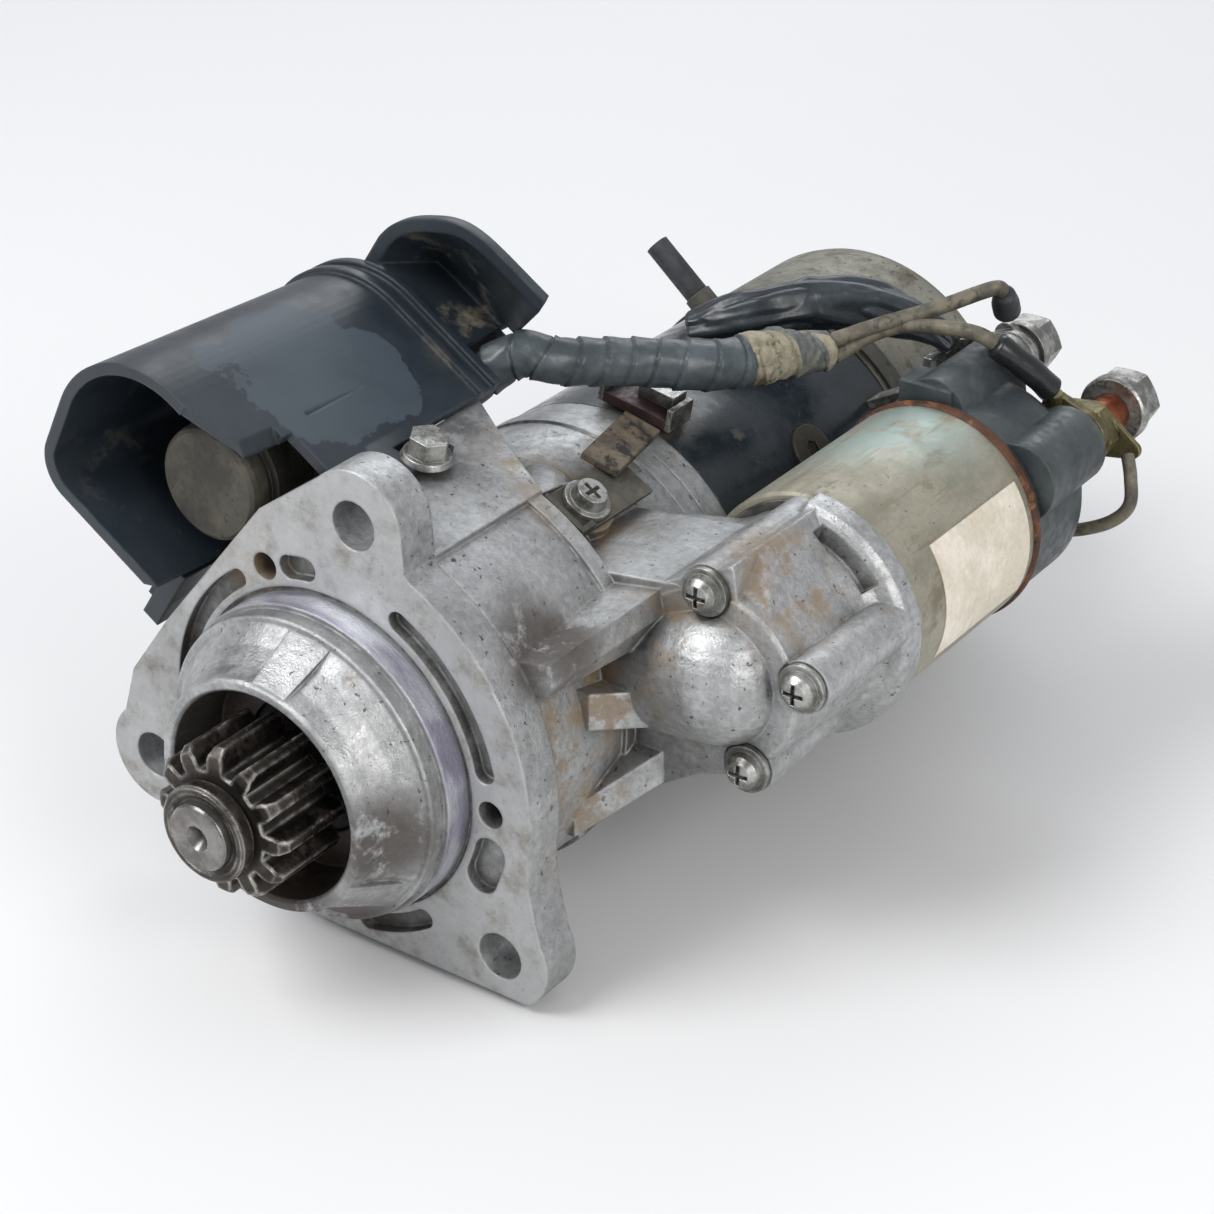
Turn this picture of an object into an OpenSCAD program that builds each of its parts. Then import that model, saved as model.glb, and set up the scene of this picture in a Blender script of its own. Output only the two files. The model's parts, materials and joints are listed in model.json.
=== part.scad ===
// Planetary-reduction starter motor for a heavy engine, with a parallel solenoid,
// a shielded relay and its harness. Units are millimetres, +Z is up, the pinion
// axis is Y (pinion at -Y) and the origin is the pilot centre on the flange face.

/* [Flange and snout] */
// Radius of the machined pilot that enters the bell housing
pilot_r = 46; // [44:0.5:50]
// Radius from the pinion axis to each of the three mounting holes
ear_pcr = 71.4; // [66:0.1:80]
// Angle of the top mounting ear, others follow at 120 degrees
ear_angle = 81; // [60:1:100]
// Radius of the mounting holes
ear_hole_r = 7; // [5:0.25:8]
// Radius of the rounded ear around a mounting hole
ear_r = 15.5; // [13:0.5:18]
// Thickness of the mounting flange
flange_t = 13; // [10:0.5:18]
// How far the snout reaches ahead of the flange
snout_len = 29.7; // [24:0.1:40]
// Radius of the snout mouth around the pinion
snout_bore_r = 30.3; // [26:0.1:34]

/* [Pinion and drive] */
// Number of pinion teeth
pinion_teeth = 12; // [9:1:14]
// Tip radius of the pinion
pinion_tip_r = 22; // [18:0.5:25]
// Root radius of the pinion
pinion_root_r = 15.6; // [12:0.1:18]
// Face width of the pinion
pinion_len = 25; // [18:0.5:32]
// Forward travel of the pinion
pinion_travel = 15; // [10:0.5:20]
// Teeth on the sun gear
sun_teeth = 15; // [12:1:18]
// Teeth on each planet gear
planet_teeth = 15; // [12:1:20]
// Gear module of the planetary set
gear_module = 1.5; // [1:0.25:2]
// Number of rollers in the one-way clutch
clutch_roller_count = 8; // [6:1:12]

/* [Motor] */
// Outer radius of the yoke
yoke_r = 52.2; // [45:0.1:60]
// Position of the front edge of the yoke
yoke_y0 = 127; // [120:1:140]
// Position of the rear edge of the yoke
yoke_y1 = 220; // [200:1:240]
// Rear end of the motor
motor_end = 280; // [260:1:300]
// Number of permanent magnets
magnet_count = 6; // [4:2:8]
// Number of armature slots
slot_count = 24; // [16:2:32]
// Number of brushes
brush_count = 4; // [2:2:6]

/* [Solenoid] */
// Distance between the pinion axis and the solenoid axis
sol_dist = 87; // [80:0.5:96]
// Angle of the solenoid around the pinion axis
sol_angle = 15.47; // [0:0.01:40]
// Outer radius of the solenoid can
sol_r = 33.8; // [28:0.1:38]
// Front edge of the solenoid can
sol_y0 = 105; // [95:1:115]
// Rear edge of the solenoid can
sol_y1 = 176; // [165:1:190]
// Plunger travel
plunger_travel = 10; // [6:0.5:14]
// Radius of the battery terminal stud
stud_r = 5.9; // [4:0.1:6]

/* [Shield and relay] */
// Tilt of the shield channel around the pinion axis
shield_tilt = 33.3; // [20:0.1:45]
// Wall thickness of the moulded shield
shield_wall = 3.4; // [2:0.1:5]
// Radius of the relay can
relay_r = 16.7; // [14:0.1:20]

/* [Hidden] */
// how far a bar's straight sides lie inside its end circles
bar_inset = 0.05;
$fn = 72;
eps = 0.01;
pinion_y = -45.5;
sx = sol_dist * cos(sol_angle);
sz = sol_dist * sin(sol_angle);
ear_angles = [ear_angle, ear_angle - 120, ear_angle + 120];
ring_teeth = sun_teeth + 2 * planet_teeth;
orbit_r = gear_module * (sun_teeth + planet_teeth) / 2;
gear_y0 = 105;
gear_y1 = 117;
lever_arm = sol_dist * 0.4;
pivot_x = sol_dist - lever_arm;
pivot_y = 62;
tip_y = pivot_y - plunger_travel / 2;
fork_y = pivot_y + pinion_travel / 2;
bplus = [108.5, 38.5];
mterm = [80, 53.5];
plate_normal = 78;
plate_h = 66.5;
hood_y = 88;
relay_xz = [-50.5, 59.4];
clip_angle = 60.3;
clip_y = 76.5;
clip_h = 57;
lead_angle = 80;
screw_xz = [[81.9, 49.0], [112.2, 30.1], [96.2, 0.1]];

function polar(r, a) = [r * cos(a), r * sin(a)];
function unit(v) = v / norm(v);

// a cylinder along +Y
module ycyl(r, y0, y1, x = 0, z = 0) {
    translate([x, y0, z])
        rotate([-90, 0, 0])
            cylinder(r = r, h = y1 - y0);
}

// revolve a profile of [radius, y] about the pinion axis
module rev(pts, x = 0, z = 0) {
    translate([x, 0, z])
        rotate([-90, 0, 0])
            rotate_extrude()
                polygon(pts);
}

// extrude an outline drawn in x and z along Y
module yext(y0, y1) {
    translate([0, y1, 0])
        rotate([90, 0, 0])
            linear_extrude(height = y1 - y0)
                children();
}

// a stadium bar between two circles of different radius
module bar2(a, ra, b, rb) {
    d = norm(b - a);
    base = atan2(b[1] - a[1], b[0] - a[0]);
    off = acos((ra - rb) / d);
    translate(a)
        circle(r = ra);
    translate(b)
        circle(r = rb);
    qa = ra - bar_inset;
    qb = rb - bar_inset;
    polygon([a + polar(qa, base + off), b + polar(qb, base + off),
        b + polar(qb, base - off), a + polar(qa, base - off)]);
}

// a wedge between two angles, for cutting rings into sectors
module wedge(a0, a1, r) {
    polygon([[0, 0], polar(r, a0), polar(r, a0 * 0.67 + a1 * 0.33),
        polar(r, a0 * 0.33 + a1 * 0.67), polar(r, a1)]);
}

module sector(r0, r1, a0, a1) {
    intersection() {
        difference() {
            circle(r = r1);
            circle(r = r0);
        }
        wedge(a0, a1, r1 * 1.6);
    }
}

// outline of a spur gear with straight-flanked teeth
function gear_pts(n, radii, half, phase) = [for (i = [0 : n - 1], k = [0 : 5])
    polar(radii[k < 3 ? k : 5 - k], phase + 360 / n * i + (k < 3 ? -half[k] : half[5 - k]))];

// smooth open curve through points, for swept cables
function cr(p0, p1, p2, p3, t) = 0.5 * ((2 * p1) + (p2 - p0) * t
    + (2 * p0 - 5 * p1 + 4 * p2 - p3) * t * t + (3 * p1 - p0 - 3 * p2 + p3) * t * t * t);
function curve(p, n) = [for (i = [0 : len(p) - 2], k = [0 : n - 1])
    cr(p[max(i - 1, 0)], p[i], p[i + 1], p[min(i + 2, len(p) - 1)], k / n), p[len(p) - 1]];

// swept round tube through path, radius may change along it
module sweep(path, radii, sides, ref = [-0.6, 0.6, 0.5]) {
    n = len(path);
    tan = [for (i = [0 : n - 1]) unit(path[min(i + 1, n - 1)] - path[max(i - 1, 0)])];
    pts = [for (i = [0 : n - 1], k = [0 : sides - 1])
        let (u = unit(cross(tan[i], ref)), v = cross(tan[i], u),
            r = radii[min(i, len(radii) - 1)], a = 360 * k / sides)
        path[i] + r * (cos(a) * u + sin(a) * v)];
    side = [for (i = [0 : n - 2], k = [0 : sides - 1])
        [i * sides + k, (i + 1) * sides + k, (i + 1) * sides + (k + 1) % sides,
            i * sides + (k + 1) % sides]];
    first = [for (k = [0 : sides - 1]) k];
    last = [for (k = [0 : sides - 1]) n * sides - 1 - k];
    polyhedron(points = pts, faces = concat([first], side, [last]));
}

// frame of the lever: x runs from the pinion axis to the solenoid axis
module lever_frame() {
    rotate([0, -sol_angle, 0])
        children();
}

// frame of the shield channel: x along the legs, z along the face normal
module shield_frame() {
    rotate([0, shield_tilt, 0])
        children();
}

// hexagon prism with chamfered corners along +Y
module hexhead(af, y0, y1) {
    intersection() {
        translate([0, y0, 0])
            rotate([-90, 0, 0])
                cylinder(r = af / sqrt(3), h = y1 - y0, $fn = 6);
        rev([[0, y0], [af / sqrt(3) + 1, y0], [af / sqrt(3) + 1, y1 - 1.8], [af / 2 - 0.2, y1], [0, y1]]);
    }
}

// pan-head cross-recess screw along +Y with the head at -Y
module pan_screw(y, length) {
    difference() {
        union() {
            rev([[0, y - 4.2], [3.4, y - 3.8], [4.9, y - 2.2], [5.3, y], [0, y]]);
            ycyl(2.95, y - 1, y + length);
        }
        translate([-0.65, y - 5, -3])
            cube([1.3, 3, 6]);
        translate([-3, y - 5, -0.65])
            cube([6, 3, 1.3]);
    }
}

// frame of the harness clip on the neck, z pointing outward from radius 48
module at_clip() {
    rotate([0, 90 - clip_angle, 0])
        translate([0, clip_y, 48])
            children();
}

module place_screws() {
    for (p = screw_xz)
        translate([p[0], 0, p[1]])
            children();
}

module drive_housing() {
    color("silver")
        difference() {
            housing_solid();
            housing_hollow();
        }
}

module flange_outline() {
    fillet = polar(72, ear_angle - 17.24);
    difference() {
        union() {
            circle(r = 58);
            for (a = ear_angles)
                bar2(polar(ear_pcr, a), ear_r, polar(30, a), 24);
            // arc that carries the right side
            intersection() {
                circle(r = 66);
                polygon([[0, 0], polar(80, 66), polar(85, 40), polar(90, 20), polar(85, 0), polar(80, -24)]);
            }
            // fillet between the top ear and the arc
            difference() {
                polygon([[0, 0], polar(ear_pcr, ear_angle), fillet]);
                translate(fillet)
                    circle(r = 5.95);
            }
            // webs along the left side, the lower right ear and the bottom
            polygon([[11.2, 70.5], [1.8, 82.5], [-20.8, 66.3], [-57.4, 21.6], [-72.4, 0.9], [-77, -14],
                [-66.7, -25.6], [0, 0]]);
            polygon([[0, 0], [65.8, 2], [64.9, -10], [65.3, -21.6], [67.4, -31.5], [70.7, -44.3],
                [55.5, -44.9]]);
            polygon([[0, 0], [-2, -58.5], [48, -58.5], [55.5, -44.9]]);
        }
        // the lower edge is cut flat
        translate([-70, -90])
            square([150, 32.6]);
    }
}

// slot along an arc with round ends
module arc_slot(r0, r1, a0, a1) {
    sector(r0 + bar_inset, r1 - bar_inset, a0, a1);
    for (a = [a0, a1])
        translate(polar((r0 + r1) / 2, a))
            circle(r = (r1 - r0) / 2);
}

module housing_solid() {
    // snout, pilot and front wall
    rev([[13, -10], [snout_bore_r, -10], [snout_bore_r, -snout_len + 1], [snout_bore_r + 0.9, -snout_len],
        [33.2, -snout_len], [33.9, -snout_len + 0.8], [35.4, -24], [38.6, -18], [42.8, -13.2],
        [44.2, -13.2], [44.6, -12.8], [44.6, -8.1], [pilot_r, -8.1], [pilot_r, 0], [pilot_r, 2], [13, 2]]);
    // raised ribs on the snout cone
    for (a = [81.5, -38.5, 201.5])
        intersection() {
            rev([[33, -29.2], [34.6, -28.9], [42.9, -13.4], [33, -13.1]]);
            yext(-29.5, -12)
                wedge(a - 9, a + 9, 60);
        }
    // mounting flange with raised spot face on the top ear
    yext(0, flange_t)
        flange_outline();
    for (a = ear_angles)
        translate([polar(ear_pcr, a)[0], 0, polar(ear_pcr, a)[1]])
            rev([[7, 12], [13.5, 12], [13.5, flange_t + 1.4], [7, flange_t + 1.4]]);
    // drum, groove and neck
    rev([[40, 10], [58, 10], [58, 54], [56.5, 58], [54, 61], [yoke_r, 63], [yoke_r, 117.8], [40, 117.8]]);
    rev([[50, 110.5], [52.9, 111], [52.9, 117.8], [50, 117.8]]);
    // full-height shoulder on the visible upper right
    yext(12, 57)
        sector(50, 66.2, 27, 67);
    yext(52, 57.5)
        sector(52, 67.3, 27.6, 66.4);
    rev([[56, 52.8], [59.6, 52.8], [59.6, 56.8], [56, 56.8]]);
    // machined pad under the shield
    rotate([0, 90 - plate_normal, 0])
        translate([0, 0, 44])
            linear_extrude(height = plate_h - 44)
                polygon([[-24, 12], [14.5, 12], [14.5, 58], [-3, 67], [-24, 80]]);
    // cast lump beside the pad
    hull() {
        translate([22, 62, 44])
            sphere(r = 13, $fn = 24);
        translate([12, 78, 44])
            sphere(r = 12, $fn = 24);
        translate([30, 60, 36])
            sphere(r = 12, $fn = 24);
    }
    // boss under the harness clip
    at_clip()
        cylinder(r = 9, h = clip_h - 48);
    saddle_solid();
}

module saddle_solid() {
    // thin sloping ledge from the flange to the saddle
    hull() {
        yext(12.5, 13)
            polygon([[48, 37.6], [63.5, 41], [64.7, 34.9], [62, 30.8], [48, 28]]);
        yext(57, 57.5)
            polygon([[46, 40.4], [52.2, 42], [67.3, 44.8], [69, 38], [64, 28], [46, 28]]);
    }
    // block that carries the solenoid, with its ridge along Y
    yext(57, sol_y0 - 0.2)
        polygon([[40, 30], [43, 40.2], [52.2, 42], [62.1, 44.1], [88.3, 57.6], [89.2, 57.9], [89.9, 57],
            [91.4, 47.4], [104, 28], [104, 10], [96, -2], [80, -8], [46, -30], [30, -20]]);
    hull() {
        yext(60, 60.5)
            polygon([[84, 24], [90.4, 50], [100.2, 43.8], [107, 36], [106, 24]]);
        yext(71, sol_y0 - 0.2)
            polygon([[84, 24], [89.7, 57.3], [111.8, 32.5], [108, 22]]);
    }
    // rounded nose of the lever chamber
    hull() {
        translate([sx, 64, sz])
            sphere(r = 21, $fn = 40);
        translate([polar(62, sol_angle)[0], 64, polar(62, sol_angle)[1]])
            sphere(r = 17.6, $fn = 40);
    }
    rev([[0, 56.5], [25.6, 56.5], [26.4, 57.4], [26.8, 62], [27.2, 75], [28, 88], [29, sol_y0 - 0.2],
        [0, sol_y0 - 0.2]], sx, sz);
    // collar on the open side of the solenoid
    intersection() {
        rev([[27, 88], [28, 88], [29, 92.5], [31, 95.5], [34.3, 97.2], [35.8, 99], [36, sol_y0 - 0.2],
            [27, sol_y0 - 0.2]], sx, sz);
        yext(86, sol_y0 + 1)
            polygon([[87.2, 70], [130, 70], [130, -30], [50, -30], [50, 2], [84, 24]]);
    }
    // walls that join the nose to the drum
    yext(56.8, 97)
        bar2([sx, sz], 26, polar(40, sol_angle), 32);
    // screw lugs around the nose
    for (p = screw_xz)
        ycyl(7.4, 57.2, sol_y0 - 0.2, p[0], p[1]);
    // ribs between the flange and the nose
    hull() {
        translate([46, 36, 8.6])
            cube([13, 1, 11]);
        translate([46, 58, 4.6])
            cube([28, 1, 11]);
    }
    hull() {
        translate([38, 36, -27])
            cube([16, 1, 9.6]);
        translate([46, 60, -13])
            cube([25, 1, 10]);
    }
    yext(50, 112)
        bar2(polar(46, -41), 3.5, polar(56.5, -41), 3);
}

module housing_hollow() {
    // ear holes and the two dowel holes
    for (a = ear_angles)
        translate([polar(ear_pcr, a)[0], 0, polar(ear_pcr, a)[1]]) {
            ycyl(ear_hole_r, -1, flange_t + 4);
        }
    ycyl(4, -1, flange_t + 4, polar(53.3, 112.2)[0], polar(53.3, 112.2)[1]);
    ycyl(4, -1, flange_t + 4, polar(53.3, -1.3)[0], polar(53.3, -1.3)[1]);
    // lightening pockets and the groove round the pilot root
    yext(-1, 3.6) {
        arc_slot(49.5, 56, 12, 62);
        arc_slot(49.5, 56.5, 96.5, 102.5);
        arc_slot(49.5, 59.5, -23.5, -14.5);
        arc_slot(49.5, 55.5, -79.5, -55.5);
        arc_slot(49.5, 55, 125, 177);
        arc_slot(49.5, 55.5, 219, 259);
    }
    yext(-1, 1.2)
        difference() {
            circle(r = pilot_r + 1.5);
            circle(r = pilot_r);
        }
    // shaft seal and bearing seats, then the drive chamber
    ycyl(20.06, -10.5, -2);
    ycyl(19.06, -2.5, 13);
    ycyl(41, 13, 98);
    ycyl(44.05, 97, 119);
    // lever chamber
    lever_frame() {
        translate([20, 47, -28])
            cube([27.5, 33, 56]);
        translate([40, 51.3, -9])
            cube([54, 28.7, 18]);
    }
    // plunger bore
    rev([[0, 48.5], [9.4, 48.5], [9.4, 72], [20.6, 72], [20.6, sol_y0 + 1], [0, sol_y0 + 1]], sx, sz);
    // pivot pin hole through the chamber walls
    lever_frame()
        translate([pivot_x, pivot_y, -23])
            cylinder(r = 4.01, h = 42.2);
    place_screws()
        ycyl(3, 40, sol_y0 + 1);
    place_screws()
        ycyl(7.6, 40, 57.2);
    // hollow in front of the solenoid collar
    translate([sx, 0, sz])
        intersection() {
            rev([[26, 93.6], [44, 88], [44, 97], [27.4, 96.2]]);
            yext(80, 100)
                wedge(35, 75, 60);
        }
    // flat seat for the harness clip
    at_clip()
        translate([-8.3, -17, clip_h - 47.95])
            cube([16.6, 41.5, 20]);
    // threaded hole for the shield bolt and the clip screw
    rotate([0, 90 - plate_normal, 0])
        translate([-13, 42, plate_h - 14])
            cylinder(r = 3.02, h = 20);
    at_clip()
        translate([0, 0, 1])
            cylinder(r = 3.02, h = 14);
}

module front_seal() {
    color("dimgray")
        rev([[13.6, -8], [20, -8], [20, -2.6], [18.6, -2.6], [18.6, -6], [16, -6], [15, -3], [13.6, -3]]);
}

module bearings() {
    color("slategray") {
        rev([[13.55, -2], [19, -2], [19, 12.6], [13.55, 12.6]]);
        rev([[7.03, 119.5], [15, 119.5], [15, 126.5], [7.03, 126.5]]);
        rev([[6.03, 262], [13, 262], [13, 271.5], [6.03, 271.5]]);
    }
}

module centre_bracket() {
    color("silver")
        difference() {
            rev([[15.02, 118], [51, 118], [yoke_r, 118.8], [yoke_r, yoke_y0 - 0.2],
                [15.02, yoke_y0 - 0.2]]);
            for (a = [0, 180])
                ycyl(2.55, 120, 128, polar(43.4, a)[0], polar(43.4, a)[1]);
        }
}

module ring_gear() {
    rp = gear_module * ring_teeth / 2;
    color("gray")
        translate([0, 118, 0])
            rotate([90, 0, 0])
                linear_extrude(height = 13.5)
                    difference() {
                        circle(r = 44);
                        polygon(gear_pts(ring_teeth, [rp + 1.8, rp, rp - 1.3], [3.2, 1.85, 1.2], 4));
                    }
}

module yoke() {
    color("black")
        difference() {
            yext(yoke_y0, yoke_y1)
                difference() {
                    circle(r = yoke_r);
                    circle(r = 47);
                }
            rotate([0, 90 - 37.3, 0])
                translate([0, 175, 40])
                    cylinder(r = 8.1, h = 20);
            rotate([0, 90 - lead_angle, 0])
                translate([0, 132.5, 40])
                    cylinder(r = 4.6, h = 20);
        }
}

module yoke_plug() {
    color("dimgray")
        rotate([0, 90 - 37.3, 0])
            translate([0, 175, 0])
                difference() {
                    translate([0, 0, 47.6])
                        cylinder(r = 8, h = 5.4);
                    translate([0, 0, 51.6])
                        cylinder(r = 3, h = 3, $fn = 6);
                }
}

module magnets() {
    step = 360 / magnet_count;
    color("darkslategray")
        for (i = [0 : magnet_count - 1])
            yext(135, 203)
                sector(35, 46.8, step * i + 8, step * (i + 1) - 8);
}

module rear_bracket() {
    color("gray")
        difference() {
            rev([[47, yoke_y1 + 0.2], [52.5, yoke_y1 + 0.2], [52.5, motor_end - 6], [51.8, motor_end - 3],
                [49.5, motor_end - 0.8], [46.5, motor_end], [20, motor_end], [18, motor_end + 1.6],
                [0, motor_end + 1.6], [0, motor_end - 4], [13.02, motor_end - 4], [13.02, 258], [18, 258],
                [18, 271], [47, 271]]);
            for (a = [0, 180])
                ycyl(2.7, 265, motor_end + 2, polar(43.4, a)[0], polar(43.4, a)[1]);
            translate([-5, 224, -56])
                cube([10, 8, 12]);
        }
}

module brush_holder() {
    color("saddlebrown")
        difference() {
            union() {
                yext(232.4, 235.4)
                    difference() {
                        circle(r = 46.6);
                        circle(r = 21);
                    }
                for (i = [0 : brush_count - 1])
                    rotate([0, 45 + 360 / brush_count * i, 0])
                        translate([20.5, 212.8, -6.2])
                            cube([16, 19.6, 12.4]);
            }
            for (i = [0 : brush_count - 1])
                rotate([0, 45 + 360 / brush_count * i, 0])
                    translate([10, 214.8, -4.2])
                        cube([30, 15.4, 8.4]);
            for (a = [0, 180])
                ycyl(3, 230, 238, polar(43.4, a)[0], polar(43.4, a)[1]);
        }
}

module brushes() {
    color("dimgray")
        for (i = [0 : brush_count - 1])
            rotate([0, 45 + 360 / brush_count * i, 0])
                difference() {
                    translate([16, 215, -4])
                        cube([17, 15, 8]);
                    ycyl(18.08, 210, 240);
                }
}

module through_bolts() {
    color("lightgray")
        for (a = [0, 180])
            translate([polar(43.4, a)[0], 0, polar(43.4, a)[1]]) {
                ycyl(2.5, 120.6, motor_end + 0.2);
                ycyl(5.6, motor_end + 0.1, motor_end + 1.3);
                hexhead(8, motor_end + 1.2, motor_end + 5.2);
            }
}

module rear_band() {
    color("dimgray")
        difference() {
            union() {
                yext(222.5, 229.5)
                    circle(r = 53.5);
                rotate([0, -49.5, 0])
                    translate([13, 226, 46])
                        cylinder(r = 4.6, h = 9.6);
            }
            ycyl(52.55, 220, 232);
            rotate([0, -49.5, 0])
                translate([13, 226, 53.4])
                    cylinder(r = 2, h = 8);
        }
}

module drain_tube() {
    color("black")
        rotate([0, -49.5, 0])
            translate([13, 226, 55.65])
                difference() {
                    cylinder(r = 3.9, h = 21);
                    translate([0, 0, -1])
                        cylinder(r = 2.1, h = 26);
                }
}

module solenoid_can() {
    color("lightsteelblue")
        rev([[31.6, sol_y0], [sol_r - 1, sol_y0], [sol_r, sol_y0 + 1], [sol_r, sol_y1 - 3],
            [31.6, sol_y1 - 3]],
            sx, sz);
}

module crimp_ring() {
    color("sienna")
        rev([[33.6, sol_y1 - 3], [34.5, sol_y1 - 2.4], [34.8, sol_y1 - 0.8], [34.2, sol_y1 + 0.6],
            [32, sol_y1 + 0.9],
            [31.8, sol_y1 - 3]], sx, sz);
}

module solenoid_poles() {
    color("gray") {
        rev([[15.05, sol_y0], [31.5, sol_y0], [31.5, sol_y0 + 6], [15.05, sol_y0 + 6]], sx, sz);
        rev([[4.1, 160], [31.5, 160], [31.5, 169], [4.1, 169]], sx, sz);
    }
}

module solenoid_coil() {
    color("peru")
        rev([[15.6, 111.2], [31, 111.2], [31, 113], [28, 114], [28, 156.5], [31, 157.5], [31, 159.5],
            [15.6, 159.5]],
            sx, sz);
}

module can_label() {
    color("whitesmoke")
        translate([sx, 0, sz])
            yext(122, 170)
                sector(sol_r + 0.02, sol_r + 0.32, -24, 36);
}

module cap_recess() {
    c = [sx, sz];
    for (p = [bplus, mterm])
        yext(193, 200)
            bar2(c + 8 * unit(p - c), 8, p, 8.4);
}

module solenoid_cap() {
    color("darkslategray")
        difference() {
            union() {
                rev([[0, 169.2], [31.4, 169.2], [31.4, 177.2], [33.2, 177.2], [33.2, 204],
                    [31.2, 208], [0, 208]],
                    sx, sz);
                yext(178, 210)
                    bar2(bplus, 12, [99, 31], 12.01);
                yext(178, 214.9)
                    bar2(mterm, 10.2, [81.5, 44], 10.21);
                translate([sx - 15, 177.2, sz + 24])
                    cube([17, 12, 14]);
                ycyl(9, 209.9, 213.9, bplus[0], bplus[1]);
            }
            ycyl(27, 169, 200, sx, sz);
            cap_recess();
            ycyl(stud_r + 0.02, 190, 230, bplus[0], bplus[1]);
            ycyl(5.02, 190, 230, mterm[0], mterm[1]);
        }
}

module terminal_bar(p, r) {
    c = [sx, sz];
    yext(195.3, 198.3)
        bar2(c + 13 * unit(p - c), 4.5, p, r);
}

module terminal_studs() {
    color("chocolate") {
        terminal_bar(bplus, 7.5);
        ycyl(stud_r, 198.2, 251.8, bplus[0], bplus[1]);
        terminal_bar(mterm, 7.5);
        ycyl(5, 198.2, 243.5, mterm[0], mterm[1]);
    }
}

module battery_nut() {
    color("lightgray")
        difference() {
            translate([bplus[0], 0, bplus[1]])
                union() {
                    hexhead(18, 241.4, 250.6);
                    rev([[0, 237.4], [10.2, 237.4], [10.8, 238.2], [10.8, 241.5], [0, 241.5]]);
                }
            ycyl(stud_r + 0.03, 235, 260, bplus[0], bplus[1]);
        }
}

module battery_lug() {
    color("darkgoldenrod") {
        yext(214.2, 217.2)
            difference() {
                bar2(bplus, 9.6, [101, 46.6], 4.4);
                translate(bplus)
                    circle(r = stud_r + 0.05);
            }
        difference() {
            translate([bplus[0], 0, bplus[1]])
                hexhead(18, 217.1, 223.1);
            ycyl(stud_r + 0.05, 214, 228, bplus[0], bplus[1]);
        }
        // barrel that holds the wire
        sweep([[101.2, 215.9, 46], [100.7, 214.3, 51.1]], [2.4], 10);
        yext(223, 224.6)
            difference() {
                bar2(bplus, 8.6, [122.5, 35], 2.8);
                translate(bplus)
                    circle(r = stud_r + 0.05);
            }
    }
}

module motor_nut() {
    color("lightgray")
        difference() {
            union() {
                translate([mterm[0], 0, mterm[1]])
                    hexhead(16, 233, 241.4);
                ycyl(9, 229.7, 233.1, mterm[0], mterm[1]);
            }
            ycyl(5.03, 225, 260, mterm[0], mterm[1]);
        }
}

module motor_strap() {
    color("gray") {
        difference() {
            union() {
                yext(224.4, 227)
                    bar2(mterm, 8.4, [66, 49], 7);
                yext(215.1, 224.5)
                    translate(mterm)
                        circle(r = 8);
                yext(226.9, 229.4)
                    bar2(mterm, 7.6, [76.6, 59.5], 3.6);
            }
            ycyl(5.05, 215, 240, mterm[0], mterm[1]);
        }
        translate([59, 209, 42])
            cube([2.6, 18, 12]);
        yext(209, 217)
            polygon([[61.6, 46], [61.6, 42], [41.6, 32.3], [40.2, 34.6]]);
    }
}

module pivot_pin() {
    color("lightgray")
        lever_frame()
            translate([pivot_x, pivot_y, -22.5])
                cylinder(r = 4, h = 41);
}

module solenoid_screws() {
    color("lightgray")
        place_screws() {
            pan_screw(55.2, 46);
            rev([[2.9, 55.19], [6.9, 55.19], [6.9, 56.9], [2.9, 56.9]]);
        }
}

// upright shield profile in the shield frame, inset by t
module channel_outline(t, shift, edge) {
    bar2([-87 + shift, 25], 30 - t, [-80, 25], 30 - t - 0.01);
    translate([-103 + shift, 7])
        circle(r = 12 - t);
    polygon([[-115 + t + shift, 7], [-116.9 + t + shift, 25], [-87 + shift, 55 - t], [edge, 55 - t],
        [edge, -5 + t], [-103 + shift, -5 + t]]);
}

// outer edge of the hood's mouth, from the low left corner to the top
hood_edge = [[-100.6, 62], [-99.6, 66.8], [-97.6, 71.4], [-94.3, 76], [-90.3, 80.2], [-86, 84],
    [-80.7, 87], [-74, 88.6], [-66, 89]];

// mouth of the hood, inset by t
module hood_outline(t) {
    polygon(concat([[-47, 51 + t], [-100.6 + t, 51 + t]],
        [for (p = curve(hood_edge, 3)) p + t * unit([-66, 56] - p)], [[-47, 89 - t]]));
}

// low far end of the hood, raised by t
module hood_tail(t) {
    polygon([[-47, 51 + t], [-92 + t, 51 + t], [-89 + t, 52.6 + t * 0.6], [-78, 54 + t * 0.6],
        [-60, 53.4 + t * 0.6], [-47, 53 + t * 0.6]]);
}

module heat_shield() {
    color("darkslategray") {
        shield_frame() {
            channel();
            // rear bulkhead with the cable opening
            yext(hood_y - 1.6, hood_y + 1)
                difference() {
                    channel_outline(0, 4, -62);
                    translate([-64, -10])
                        square([60, 61]);
                    translate([-96, 54])
                        square([60, 40]);
                }
            hood();
            // foot of the far leg
            translate([-70, 6, -26])
                cube([6, 26, 22]);
            translate([-74, 12, -26])
                cube([6, 12, 5]);
        }
        pad_tab();
    }
}

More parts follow.
